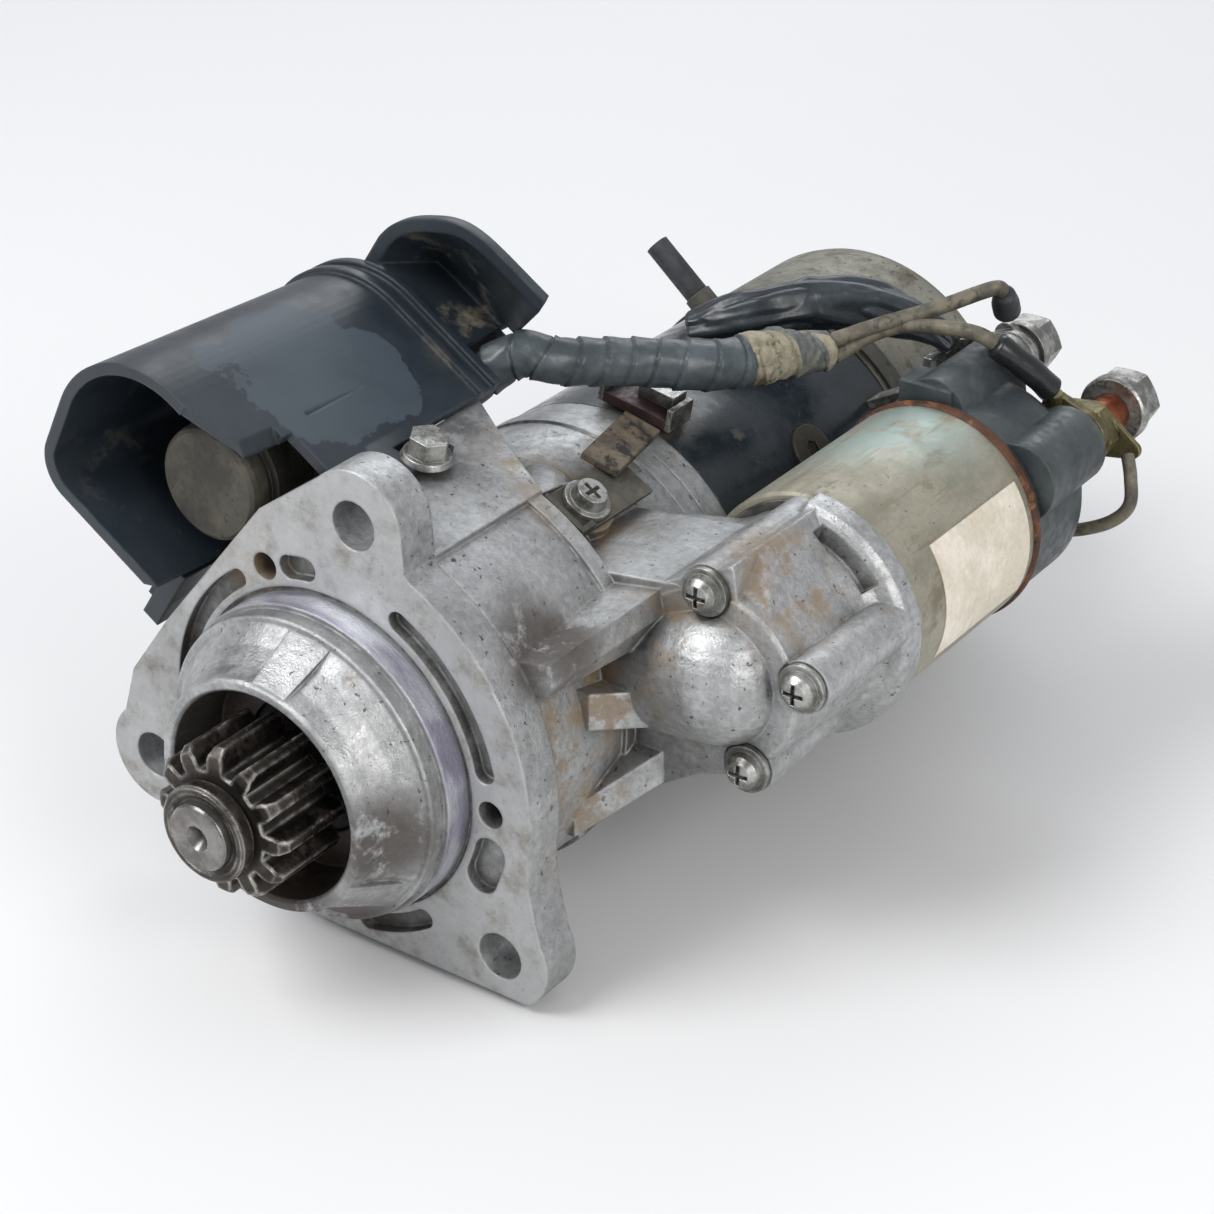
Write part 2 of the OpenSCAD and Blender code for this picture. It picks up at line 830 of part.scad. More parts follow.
module channel() {
    w = shield_wall;
    difference() {
        union() {
            hull() {
                yext(-5, -4.5)
                    channel_outline(0, 0, -69);
                yext(hood_y - 2, hood_y - 1.5)
                    channel_outline(0, 4, -64);
            }
            // raised beads where the channel meets the hood
            for (y = [hood_y - 9, hood_y - 2.4])
                yext(y, y + 2.6)
                    channel_outline(-1.8, 4, -62);
        }
        hull() {
            yext(-6, -5.5)
                channel_outline(w, 0, -40);
            yext(hood_y - 2, hood_y + 1.5)
                channel_outline(w, 4, -40);
        }
        // slanted front corner of the near leg
        translate([0, 0, 44])
            linear_extrude(height = 16)
                polygon([[-84, -6], [-60, -6], [-60, 1.6], [-68, 0.6], [-78, -2.8], [-84, -4.6]]);
    }
    // lower strip of the near leg, stepped back past the flange
    translate([-72, flange_t + 0.3, 55 - w])
        cube([8.2, 12, w]);
    translate([-66, flange_t + 4, 55 - w])
        cube([18.8, hood_y - flange_t - 5.4, w]);
    for (y = [hood_y - 9, hood_y - 2.4])
        translate([-66, y, 55 - w])
            cube([18.8, 2.6, w + 1.8]);
}

module hood() {
    w = shield_wall * 0.8;
    difference() {
        union() {
            hull() {
                yext(hood_y + 0.2, hood_y + 1)
                    hood_outline(1.3);
                yext(hood_y + 24.4, hood_y + 25)
                    hood_tail(0);
            }
            // rolled rim
            yext(hood_y - 0.6, hood_y + 2.4)
                hood_outline(0);
        }
        hull() {
            yext(hood_y - 1, hood_y - 0.5)
                hood_outline(1.3 + w);
            yext(hood_y + 19, hood_y + 19.5)
                hood_tail(w);
        }
        // notch for the loom and the slanted right end
        translate([-62.5, hood_y - 1, 45])
            cube([45, 31, 11]);
        translate([-49, hood_y, 30])
            rotate([0, 0, 24])
                cube([90, 60, 70]);
        translate([-49, hood_y - 5, 30])
            cube([90, 6, 70]);
    }
    // back wall behind the loom
    yext(hood_y + 17, hood_y + 20)
        polygon([[-84, 52.5], [-84, 35], [-59, 31], [-57.6, 52.5]]);
}

module pad_tab() {
    rotate([0, 90 - plate_normal, 0])
        difference() {
            translate([-31, 32.5, plate_h + 0.02])
                cube([19.5, 19.5, 3]);
            translate([-13, 42, plate_h - 1])
                cylinder(r = 3.6, h = 8);
            translate([-22, 38.5, plate_h - 1])
                cube([12, 7, 8]);
        }
}

module shield_bolt() {
    color("lightgray")
        rotate([0, 90 - plate_normal, 0])
            translate([-13, 42, plate_h]) {
                translate([0, 0, -12])
                    cylinder(r = 2.98, h = 16);
                translate([0, 0, 3.05])
                    cylinder(r1 = 7.3, r2 = 6.6, h = 1.6);
                translate([0, 0, 4.6])
                    cylinder(r = 5.8, h = 5.4, $fn = 6);
            }
}

module relay_can() {
    color("gray")
        rev([[0, 12], [15, 12], [16.2, 12.9], [relay_r, 14.5], [relay_r, 18.4], [15.8, 19], [15.8, 20.6],
            [relay_r + 0.9, 21.2], [relay_r + 0.9, 58], [0, 58]], relay_xz[0], relay_xz[1]);
}

module relay_base() {
    color("black") {
        rev([[0, 58.1], [relay_r + 1.6, 58.1], [relay_r + 1.6, 61], [14, 64],
            [0, 64]], relay_xz[0], relay_xz[1]);
        for (d = [-8, 8])
            ycyl(2.9, 63.9, 74, relay_xz[0] + d * cos(30), relay_xz[1] + d * sin(30));
    }
}

module relay_bracket() {
    color("gray")
        yext(36, 46)
            difference() {
                union() {
                    translate(relay_xz)
                        circle(r = relay_r + 2.9);
                    rotate(atan2(relay_xz[1], relay_xz[0]))
                        translate([57, -11])
                            square([7, 22]);
                }
                translate(relay_xz)
                    circle(r = relay_r + 0.95);
                circle(r = 58.05);
            }
}

module p_clip() {
    color("dimgray")
        at_clip()
            difference() {
                union() {
                    translate([-7.5, -11.5, clip_h - 47.9])
                        cube([15, 34.5, 1.6]);
                    translate([-7.5, -11.5, clip_h - 47.9])
                        cube([15, 1.6, 3.6]);
                    translate([5.9, -11.5, clip_h - 47.9])
                        cube([1.6, 6, 3.6]);
                }
                translate([0, 0, 4])
                    cylinder(r = 3.1, h = 10);
            }
}

module clip_loop() {
    color("black")
        rotate([0, 90 - 70, 0])
            translate([3.5, 90, 59.3])
                rotate([0, 0, 9])
                    translate([-5.8, 0, 0])
                        cube([11.6, 27, 2.1]);
}

module clip_screw() {
    color("lightgray")
        at_clip()
            translate([0, 0, clip_h - 46.2]) {
                translate([0, 0, -8])
                    cylinder(r = 2.95, h = 9);
                cylinder(r = 6.9, h = 1.5);
                difference() {
                    translate([0, 0, 1.4])
                        cylinder(r1 = 5.3, r2 = 4.4, h = 3.6);
                    translate([-0.65, -3, 3])
                        cube([1.3, 6, 3]);
                    translate([-3, -0.65, 3])
                        cube([6, 1.3, 3]);
                }
            }
}

module lead_grommet() {
    color("maroon")
        rotate([0, 90 - lead_angle, 0])
            translate([0, 132.5, 47.2]) {
                cylinder(r = 4.5, h = 6.4);
                translate([-11, -5, 6])
                    cube([22, 13, 3.2]);
            }
}

module lead_tabs() {
    color("lightgray")
        rotate([0, 90 - lead_angle, 0])
            translate([0, 132.5, 47.2]) {
                for (x = [-12.8, 11.1])
                    translate([x, -5, 6])
                        cube([1.7, 11, 7]);
                translate([-3, 1, 9.3])
                    cube([12, 7, 4]);
            }
}

// routes of the held harness, rounded by hand
loom_path = curve([[-27.6, 84, 63.6], [-22.5, 91, 67], [-11.8, 100.5, 75.8], [-1.7, 107.5, 74],
    [11.3, 127.5, 69.8], [25, 140, 67.6], [31, 152.4, 66.3]], 2);
sleeve_path = curve([[32, 154.3, 66.3], [35.5, 161, 66], [39.5, 171, 64], [43.6, 178.5, 63.2]], 2);
wire_a_path = curve([[44.2, 180.6, 66], [54, 190, 70], [66, 202, 74], [74.4, 213.4, 77.2],
    [77.6, 217.8, 77.9], [78.4, 219.7, 76.6]], 2);
wire_b_path = curve([[45, 180.6, 60.8], [51, 188, 66], [58, 194, 69], [66, 197, 70],
    [75, 198.2, 71], [82.6, 198.6, 71], [86.5, 199.9, 69.1]], 2);
b_sleeve_path = [[87.6, 200.8, 68], [92.2, 204.4, 63.4], [96.2, 208.4, 58.6], [99.8, 212.6, 53]];
boot_path = [[78.5, 220.8, 75], [77.6, 223.5, 71.5], [76.9, 226.4, 67.6]];
loop_path = curve([[103, 210.6, 8], [113.7, 211.5, 11], [123, 212.6, 16], [127.5, 214.5, 22],
    [125.5, 218, 29], [122.6, 220.9, 34.4]], 2);
wrap_path = curve([[-6, 180, 58.5], [12, 190, 63.4], [24, 203, 64.8], [38, 210, 64.8], [50, 213, 63],
    [60, 214.4, 60.6], [65, 215.5, 57.4]], 2);

module harness_loom() {
    color("black")
        sweep(loom_path, [6.2, 6.2, 6.3, 6.3, 6.4, 6.4, 6.5, 6.6, 6.7, 6.9, 7, 7, 6.9], 12);
}

module harness_sleeve() {
    color("dimgray")
        sweep(sleeve_path, [8.2, 8.1, 7.6, 6.9, 6.5, 5.8, 4.7], 12);
}

module harness_wires() {
    color("dimgray") {
        sweep(wire_a_path, [2.4], 8);
        sweep(wire_b_path, [2.4], 8);
        sweep(loop_path, [2.1], 8, [0.2, -0.9, 0.4]);
    }
}

module wire_sleeves() {
    color("gray") {
        sweep(boot_path, [3.4, 4.3, 4], 10);
        sweep(b_sleeve_path, [4], 10);
    }
}

module wrap_cable() {
    color("black")
        sweep(wrap_path, [4, 5.6, 6.8, 7.4, 7.8, 8, 8, 8, 7.8, 7.2, 6.4, 5.2, 4], 12);
}

module armature_shaft() {
    rp = gear_module * sun_teeth / 2;
    color("silver") {
        rev([[0, 116.9], [5, 116.9], [5, 118.4], [7, 118.4], [7, 127.4], [9, 128], [9, 250],
            [6, 250.5], [6, 273],
            [5.4, 273.8], [0, 273.8]]);
        // sun gear cut on the front of the shaft
        translate([0, gear_y1, 0])
            rotate([90, 0, 0])
                linear_extrude(height = gear_y1 - gear_y0 - 0.2)
                    polygon(gear_pts(sun_teeth, [rp - 1.8, rp, rp + 1.3], [7, 5.6, 2.5], 0));
    }
}

module armature_core() {
    color("gray")
        yext(138, 198)
            difference() {
                circle(r = 33.6);
                circle(r = 9.02);
                for (i = [0 : slot_count - 1])
                    rotate(360 / slot_count * i)
                        translate([26, -1.1])
                            square([10, 2.2]);
            }
}

module armature_winding() {
    color("peru") {
        rev([[9.1, 130], [24, 130], [30, 133], [31, 137.8], [9.1, 137.8]]);
        rev([[9.1, 198.2], [31, 198.2], [30, 203], [22, 209.5], [9.1, 209.5]]);
    }
}

module commutator() {
    color("chocolate")
        yext(210, 232)
            difference() {
                circle(r = 18);
                circle(r = 9.05);
                for (i = [0 : slot_count - 1])
                    rotate(360 / slot_count * (i + 0.5))
                        translate([15.5, -0.35])
                            square([4, 0.7]);
            }
}

module planet_gear(i) {
    rp = gear_module * planet_teeth / 2;
    c = polar(orbit_r, 120 * i);
    // each planet is turned so that a gap meets a sun tooth
    color("dimgray")
        translate([c[0], gear_y1 - 0.2, c[1]])
            rotate([90, 0, 0])
                linear_extrude(height = gear_y1 - gear_y0 - 0.6)
                    difference() {
                        polygon(gear_pts(planet_teeth, [rp - 1.8, rp, rp + 1.3],
                            [7, 5.6, 2.5], 120 * i + 192));
                        circle(r = 4.05);
                    }
}

module planet_1() {
    planet_gear(0);
}

module planet_2() {
    planet_gear(1);
}

module planet_3() {
    planet_gear(2);
}

module planet_carrier() {
    color("slategray") {
        yext(99.1, 104)
            difference() {
                circle(r = 34);
                circle(r = 12.6);
            }
        for (i = [0 : 2])
            ycyl(4, 103.9, 117.4, polar(orbit_r, 120 * i)[0], polar(orbit_r, 120 * i)[1]);
        rev([[18.8, 80], [33, 80], [34, 81], [34, 99.2], [25.4, 99.2], [25.4, 82.5], [18.8, 82.5]]);
    }
}

module clutch_hub() {
    color("gray")
        rev([[12.06, 78], [18.5, 78], [18.5, 98.9], [12.06, 98.9]]);
}

module clutch_rollers() {
    color("silver")
        for (i = [0 : clutch_roller_count - 1])
            ycyl(3.35, 83, 98.6, polar(21.95, 360 / clutch_roller_count * i)[0],
                polar(21.95, 360 / clutch_roller_count * i)[1]);
}

module pinion_shaft() {
    color("silver")
        rev([[0, -50], [1.2, -50.4], [3.7, -53.5], [8.9, -53.5], [9.5, -52.9], [9.5, -45.6],
            [11, -45.4], [11, -18.4],
            [13.5, -18.2], [13.5, 63.4], [12, 63.5], [12, 103], [11.5, 103.5], [0, 103.5]]);
}

module pinion() {
    y1 = pinion_y + pinion_len;
    color("dimgray")
        intersection() {
            translate([0, y1, 0])
                rotate([90, 0, 0])
                    linear_extrude(height = pinion_len)
                        difference() {
                            polygon(gear_pts(pinion_teeth, [pinion_root_r, 18.8, pinion_tip_r],
                                [9.4, 7.6, 3.6], 0));
                            circle(r = 11.03);
                        }
            rev([[0, pinion_y], [17.5, pinion_y], [20.4, pinion_y + 0.4],
                [pinion_tip_r + 0.6, pinion_y + 3.4],
                [pinion_tip_r + 0.6, y1 - 1], [pinion_tip_r - 0.4, y1], [0, y1]]);
        }
}

module pinion_stop() {
    color("gray")
        rev([[9.56, -50.6], [11.4, -50.6], [11.6, -51.4], [13.3, -51.4], [13.8, -50.9], [13.8, -47.2],
            [13, -46.2],
            [9.56, -46.2]]);
}

module shift_collar() {
    y0 = fork_y - 6;
    color("dimgray")
        rev([[12.05, y0], [19.5, y0], [20, y0 + 0.5], [20, y0 + 3], [15.5, y0 + 3], [15.5, y0 + 9],
            [20, y0 + 9],
            [20, y0 + 11.5], [19.5, y0 + 12], [12.05, y0 + 12]]);
}

module lever_side(z0) {
    translate([0, 0, z0])
        linear_extrude(height = 5)
            bar2([0, fork_y], 5, [38, pivot_y + 2], 6);
}

module shift_lever() {
    color("slategray")
        lever_frame()
            difference() {
                union() {
                    lever_side(20.6);
                    lever_side(-25.6);
                    for (z = [16, -20.7])
                        translate([0, fork_y, z])
                            cylinder(r = 2.8, h = 4.7);
                    translate([0, 0, -20.7])
                        linear_extrude(height = 41.4)
                            bar2([38, pivot_y + 2], 6, [41, pivot_y + 1.6], 5);
                    translate([0, 0, -7.5])
                        linear_extrude(height = 15)
                            bar2([41, pivot_y + 1.6], 5, [pivot_x, pivot_y], 7.2);
                    translate([0, 0, -4])
                        linear_extrude(height = 8) {
                            bar2([pivot_x, pivot_y], 7, [74, pivot_y - 3.13], 3);
                            bar2([74, pivot_y - 3.13], 3, [sol_dist, tip_y], 3.01);
                            translate([sol_dist, tip_y])
                                circle(r = 4.5);
                        }
                }
                translate([pivot_x, pivot_y, -30])
                    cylinder(r = 4.06, h = 60);
            }
}

module plunger() {
    color("silver") {
        rev([[0, 79.8], [14.5, 79.8], [15, 80.6], [15, 147.4], [14.4, 148], [4, 148], [4, 186],
            [0, 186]], sx, sz);
        difference() {
            rev([[0, 50], [7.4, 50], [8, 50.6], [8, 78], [9, 78.2], [19.6, 78.2], [19.6, 79.9],
                [0, 79.9]], sx, sz);
            lever_frame()
                translate([sol_dist - 20, tip_y - 4.6, -4.25])
                    cube([40, 9.2, 8.5]);
        }
    }
}

module contact_plate() {
    c = [sx, sz];
    color("chocolate")
        difference() {
            union() {
                ycyl(7.5, 182.2, 185.2, sx, sz);
                for (e = [unit(bplus - c), unit(mterm - c)]) {
                    n = 5.3 * [-e[1], e[0]];
                    p = c + 15 * e;
                    ycyl(5.5, 182.2, 185.2, p[0], p[1]);
                    yext(182.2, 185.2)
                        polygon([c + n, p + n, p - n, c - n]);
                }
            }
            ycyl(4.03, 181, 186, sx, sz);
        }
}

module return_spring() {
    turns = 5;
    span = 23.2;
    color("silver")
        sweep([for (i = [0 : turns * 12])
            [sx + 17.4 * cos(30 * i), 80.8 + span * i / (turns * 12), sz + 17.4 * sin(30 * i)]],
                [0.8], 8, [0, 1, 0]);
}

drive_housing();
front_seal();
bearings();
centre_bracket();
ring_gear();
yoke();
yoke_plug();
magnets();
rear_bracket();
brush_holder();
brushes();
through_bolts();
rear_band();
drain_tube();
solenoid_can();
crimp_ring();
solenoid_poles();
solenoid_coil();
can_label();
solenoid_cap();
terminal_studs();
battery_nut();
battery_lug();
motor_nut();
motor_strap();
pivot_pin();
solenoid_screws();
heat_shield();
shield_bolt();
relay_can();
relay_base();
relay_bracket();
p_clip();
clip_loop();
clip_screw();
lead_grommet();
lead_tabs();
harness_loom();
harness_sleeve();
harness_wires();
wire_sleeves();
wrap_cable();
armature_shaft();
armature_core();
armature_winding();
commutator();
planet_1();
planet_2();
planet_3();
planet_carrier();
clutch_hub();
clutch_rollers();
pinion_shaft();
pinion();
pinion_stop();
shift_collar();
shift_lever();
plunger();
contact_plate();
return_spring();
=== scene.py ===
"""Looks of a flange-mounted starter motor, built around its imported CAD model."""
import json
import math

import bmesh
import bpy
from mathutils import Matrix, Vector, noise


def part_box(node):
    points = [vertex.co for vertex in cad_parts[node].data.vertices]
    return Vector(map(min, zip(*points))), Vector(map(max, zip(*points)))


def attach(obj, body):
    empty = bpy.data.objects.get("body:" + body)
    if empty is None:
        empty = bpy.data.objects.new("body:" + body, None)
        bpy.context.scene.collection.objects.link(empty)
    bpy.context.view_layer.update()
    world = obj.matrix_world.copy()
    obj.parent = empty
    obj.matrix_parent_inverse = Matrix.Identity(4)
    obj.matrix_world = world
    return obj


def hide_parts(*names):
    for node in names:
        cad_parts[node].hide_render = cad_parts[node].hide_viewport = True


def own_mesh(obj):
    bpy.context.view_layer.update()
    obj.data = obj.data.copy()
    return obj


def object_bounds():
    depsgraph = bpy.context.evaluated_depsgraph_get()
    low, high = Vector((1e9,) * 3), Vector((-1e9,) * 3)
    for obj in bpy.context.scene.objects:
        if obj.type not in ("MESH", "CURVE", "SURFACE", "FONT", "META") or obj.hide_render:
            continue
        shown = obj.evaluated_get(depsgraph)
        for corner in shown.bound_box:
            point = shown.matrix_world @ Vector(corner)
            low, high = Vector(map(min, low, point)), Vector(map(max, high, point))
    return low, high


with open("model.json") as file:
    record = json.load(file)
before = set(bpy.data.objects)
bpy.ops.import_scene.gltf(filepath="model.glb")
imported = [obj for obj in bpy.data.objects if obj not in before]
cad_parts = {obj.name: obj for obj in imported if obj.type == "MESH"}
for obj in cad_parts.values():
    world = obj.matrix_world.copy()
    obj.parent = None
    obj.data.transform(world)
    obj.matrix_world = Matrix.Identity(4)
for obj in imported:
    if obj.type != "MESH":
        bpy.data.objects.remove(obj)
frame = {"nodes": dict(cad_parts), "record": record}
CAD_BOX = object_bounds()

MM = 0.001
NODES = frame["nodes"]


# ---------------------------------------------------------------- camera and light

def aim(obj, direction, roll_up=Vector((0, 0, 1))):
    z = -Vector(direction).normalized()
    x = roll_up.cross(z).normalized()
    y = z.cross(x)
    obj.matrix_world = Matrix.Translation(obj.location) @ Matrix((x, y, z)).transposed().to_4x4()


CAMERA_PLACE = (0.4422, -0.4972, 0.4080)
CAMERA_WAY = (-0.5059, 0.7149, -0.4827)
FOCAL_LENGTH = 85.8

camera = bpy.data.objects.new("camera", bpy.data.cameras.new("camera"))
bpy.context.scene.collection.objects.link(camera)
camera.data.lens = FOCAL_LENGTH
camera.data.sensor_width = 36
camera.data.clip_start = 0.01
camera.location = CAMERA_PLACE
aim(camera, CAMERA_WAY)
bpy.context.scene.camera = camera

MIDDLE = Vector((0.01, 0.12, 0.02))


def area_light(name, place, size, power, colour=(1, 1, 1)):
    data = bpy.data.lights.new(name, "AREA")
    data.shape = "RECTANGLE"
    data.size, data.size_y = size
    data.energy = power
    data.color = colour
    light = bpy.data.objects.new(name, data)
    light.location = place
    bpy.context.scene.collection.objects.link(light)
    aim(light, MIDDLE - Vector(place))
    return light


area_light("key_light", (-0.55, -0.75, 1.2), (0.8, 0.8), 18)
area_light("side_light", (1.3, -0.35, 0.7), (0.7, 0.9), 11, (1.0, 0.98, 0.95))
area_light("back_light", (-0.5, 1.2, 0.9), (1.0, 0.6), 5, (0.94, 0.97, 1.0))

world = bpy.data.worlds.new("studio")
world.use_nodes = True
world.node_tree.nodes["Background"].inputs["Color"].default_value = (0.93, 0.95, 1.0, 1)
world.node_tree.nodes["Background"].inputs["Strength"].default_value = 0.6
bpy.context.scene.world = world
bpy.context.scene.view_settings.view_transform = "Standard"


# ---------------------------------------------------------------- material kit

def srgb(code):
    """A colour from its hex code, in linear light."""
    out = []
    for k in (0, 2, 4):
        c = int(code[k:k + 2], 16) / 255
        out.append(c / 12.92 if c <= 0.04045 else ((c + 0.055) / 1.055) ** 2.4)
    return (*out, 1.0)


class Kit:
    """Builds the node tree of one procedural material."""

    def __init__(self, name):
        self.material = bpy.data.materials.new(name)
        self.material.use_nodes = True
        self.tree = self.material.node_tree
        self.tree.nodes.clear()
        self.bsdf = self.node("ShaderNodeBsdfPrincipled")
        out = self.node("ShaderNodeOutputMaterial")
        self.tree.links.new(self.bsdf.outputs[0], out.inputs[0])
        self.place = self.node("ShaderNodeTexCoord").outputs["Object"]

    def node(self, kind, ins=None, **props):
        n = self.tree.nodes.new(kind)
        for key, value in props.items():
            setattr(n, key, value)
        for key, value in (ins or {}).items():
            self.put(n.inputs[key], value)
        return n

    def put(self, socket, value):
        if isinstance(value, bpy.types.NodeSocket):
            self.tree.links.new(value, socket)
        else:
            socket.default_value = value

    def math(self, op, a, b=0.0, clamp=False):
        return self.node("ShaderNodeMath", {0: a, 1: b}, operation=op, use_clamp=clamp).outputs[0]

    def noise(self, scale, detail=4.0, rough=0.6, stretch=(1, 1, 1), shift=0.0, warp=0.0):
        ins = {"Scale": scale, "Detail": detail, "Roughness": rough, "Distortion": warp}
        place = {"Vector": self.place, "Scale": stretch, "Location": (shift, shift * 0.7, -shift)}
        ins["Vector"] = self.node("ShaderNodeMapping", place).outputs[0]
        return self.node("ShaderNodeTexNoise", ins).outputs[0]

    def step(self, value, low, high, to_low=0.0, to_high=1.0):
        return self.node("ShaderNodeMapRange", {0: value, 1: low, 2: high, 3: to_low, 4: to_high},
                         interpolation_type="SMOOTHSTEP").outputs[0]

    def mix(self, share, a, b):
        n = self.node("ShaderNodeMix", data_type="RGBA")
        self.put(n.inputs[0], share)
        self.put(n.inputs[6], a)
        self.put(n.inputs[7], b)
        return n.outputs[2]

    def lerp(self, share, a, b):
        n = self.node("ShaderNodeMix", data_type="FLOAT")
        self.put(n.inputs[0], share)
        self.put(n.inputs[2], a)
        self.put(n.inputs[3], b)
        return n.outputs[0]

    def axes(self):
        return self.node("ShaderNodeSeparateXYZ", {0: self.place}).outputs

    def between(self, value, low, high, soft):
        up = self.step(value, low - soft, low + soft)
        return self.math("MULTIPLY", up, self.step(value, high - soft, high + soft, 1.0, 0.0))

    def radius(self, x=0.0, z=0.0):
        a = self.axes()
        dx = self.math("SUBTRACT", a[0], x)
        dz = self.math("SUBTRACT", a[2], z)
        squares = self.math("ADD", self.math("MULTIPLY", dx, dx), self.math("MULTIPLY", dz, dz))
        return self.math("SQRT", squares)

    def crevice(self, reach, low=0.45, high=0.95):
        """1 in corners and hollows, 0 on open faces."""
        ao = self.node("ShaderNodeAmbientOcclusion", {"Distance": reach}, samples=6)
        return self.step(ao.outputs["AO"], low, high, 1.0, 0.0)

    def edge(self, radius):
        """1 along edges, 0 on flat faces. Also gives the rounded normal."""
        bevel = self.node("ShaderNodeBevel", {"Radius": radius}, samples=4)
        geo = self.node("ShaderNodeNewGeometry")
        dot = self.node("ShaderNodeVectorMath", {0: bevel.outputs[0], 1: geo.outputs["Normal"]},
                        operation="DOT_PRODUCT").outputs["Value"]
        return self.step(dot, 0.80, 0.985, 1.0, 0.0), bevel.outputs[0]

    def spot(self, centre, reach):
        """1 near a place given in millimetres, fading to 0 at its reach."""
        d = self.node("ShaderNodeVectorMath", {0: self.place, 1: tuple(c * MM for c in centre)},
                      operation="DISTANCE").outputs["Value"]
        return self.step(d, reach * MM * 0.35, reach * MM, 1.0, 0.0)

    def scaled(self, colour, amount):
        n = self.node("ShaderNodeVectorMath", {0: colour}, operation="SCALE")
        self.put(n.inputs["Scale"], amount)
        return n.outputs[0]

    def bump(self, height, strength, distance, normal=None):
        ins = {"Height": height, "Strength": strength, "Distance": distance}
        if normal is not None:
            ins["Normal"] = normal
        return self.node("ShaderNodeBump", ins).outputs[0]


def surface(name, base, alt, *, alt_scale=25, alt_range=(0.4, 0.62), stain=None, stain_scale=40,
            stain_range=(0.52, 0.64), stain_top=0.9, specks=None, speck_range=(0.62, 0.70), grime_and_shade=None,
            grime_and_shade_reach=0.006, grime_and_shade_top=0.85, wear=None, wear_top=0.7, round_off=0.0006, metallic=0.0,
            rough=0.5, rough_spread=0.14, bumps=((900, 0.5, 0.0002),), stretch=(1, 1, 1), hook=None,
            mottle=0.1, mottle_scale=600):
    """A worn surface: two tones, stains, specks, a crevice colour in the corners that is mostly painted
    shade (partly dust) and bright edges.
    """
    k = Kit(name)
    tone = k.step(k.noise(alt_scale, 5, 0.62, stretch), *alt_range)
    colour = k.mix(tone, srgb(base), srgb(alt))
    if mottle:
        grain = k.step(k.noise(mottle_scale, 8, 0.75, shift=6.6), 0.3, 0.7, 1 - mottle, 1 + mottle)
        colour = k.scaled(colour, grain)
    # mask of stains and of the painted crevice shade; below it also roughens the finish and dulls the metal
    dirt_and_shade = None
    if stain:
        patch = k.step(k.noise(stain_scale, 9, 0.68, stretch, 3.1, 0.4), *stain_range)
        dirt_and_shade = k.math("MULTIPLY", patch, stain_top)
        colour = k.mix(dirt_and_shade, colour, srgb(stain))
    if specks:
        spots = k.step(k.noise(420, 3, 0.7, shift=5.3), *speck_range)
        colour = k.mix(k.math("MULTIPLY", spots, 0.8), colour, srgb(specks))
    # crevice colour from ambient occlusion: where it is darker than the base it is painted shade in corners
    # and hollows; on black paint it is lighter dust
    if grime_and_shade:
        grime_and_shade_cover = k.math("MULTIPLY", k.crevice(grime_and_shade_reach), grime_and_shade_top)
        break_up = k.step(k.noise(120, 6, 0.7, shift=1.7), 0.32, 0.6, 0.55, 1.0)
        grime_and_shade_cover = k.math("MULTIPLY", grime_and_shade_cover, break_up)
        colour = k.mix(grime_and_shade_cover, colour, srgb(grime_and_shade))
        dirt_and_shade = grime_and_shade_cover if dirt_and_shade is None else k.math("MAXIMUM", dirt_and_shade, grime_and_shade_cover)
    rim, normal = k.edge(round_off)
    if wear:
        rub = k.math("MULTIPLY", rim, k.step(k.noise(160, 5, 0.65, shift=7.9), 0.38, 0.6, 0.2, 1.0))
        colour = k.mix(k.math("MULTIPLY", rub, wear_top), colour, srgb(wear))
    gloss = k.noise(alt_scale * 5, 5, 0.6, shift=2.2)
    finish = k.step(gloss, 0.3, 0.7, rough - rough_spread, rough + rough_spread)
    shine = metallic
    if dirt_and_shade is not None:
        finish = k.lerp(dirt_and_shade, finish, 0.78)
        if metallic:
            shine = k.lerp(dirt_and_shade, metallic, metallic * 0.25)
    for scale, strength, depth in bumps:
        normal = k.bump(k.noise(scale, 4, 0.65, stretch, 4.4), strength, depth, normal)
    if hook:
        colour, shine, finish, normal = hook(k, colour, shine, finish, normal)
    k.put(k.bsdf.inputs["Base Color"], colour)
    k.put(k.bsdf.inputs["Metallic"], shine)
    k.put(k.bsdf.inputs["Roughness"], finish)
    k.put(k.bsdf.inputs["Normal"], normal)
    return k.material


# ---------------------------------------------------------------- materials

# centre in millimetres and reach of each stained area; the dark oily areas are oil and, low under the snout
# and flange, also painted shade of the underside
TAN_PLACES = (((60, 34, 12), 30), ((70, 52, 34), 17), ((97, 72, 50), 26), ((22, 74, 54), 34),
              ((-34, 4, 56), 30), ((62, 30, -16), 26))
OIL_AND_SHADE_PLACES = (((6, -20, -40), 40), ((41, -25, -5), 24), ((40, -36, -10), 20), ((-60, 4, 10), 26),
               ((56, 22, 40), 22), ((4, 4, -54), 26))


